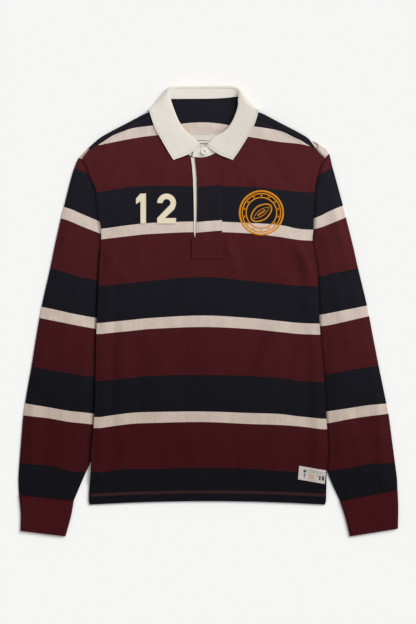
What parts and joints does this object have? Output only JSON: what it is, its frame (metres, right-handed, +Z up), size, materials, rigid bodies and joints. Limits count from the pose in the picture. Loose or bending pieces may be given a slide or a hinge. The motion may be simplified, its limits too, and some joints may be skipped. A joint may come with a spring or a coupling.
{
  "type": "rugby shirt",
  "caption": "Long-sleeved rugby shirt laid flat, hooped jersey with a pale twill collar, buttoned placket and rib cuffs.",
  "frame": {"origin": "middle of the shirt's box, on the surface it lies on", "axes": "+Y up the shirt from hem to collar, +X towards the wearer's left sleeve, +Z up from the surface"},
  "size_m": [0.6844, 0.8112, 0.0129],
  "materials": {
    "jersey": "heavy cotton jersey, matt, in burgundy, navy and beige hoops",
    "rib": "cotton rib knit, matt",
    "twill": "brushed cotton twill, matt",
    "felt": "wool felt, matt",
    "tape": "woven label tape, slight sheen",
    "button": "satin"
  },
  "bodies": {
    "root": {"back_panel": "jersey", "front_panel": "jersey", "left_placket": "jersey", "placket_facing": "twill", "collar_stand": "twill", "collar_fall": "twill", "collar_button": "button", "neck_label": "tape", "hem_label": "tape", "numeral_one": "felt", "numeral_two": "felt", "right_sleeve": "jersey", "right_cuff": "rib", "left_sleeve": "jersey", "left_cuff": "rib"}
  },
  "joints": []
}
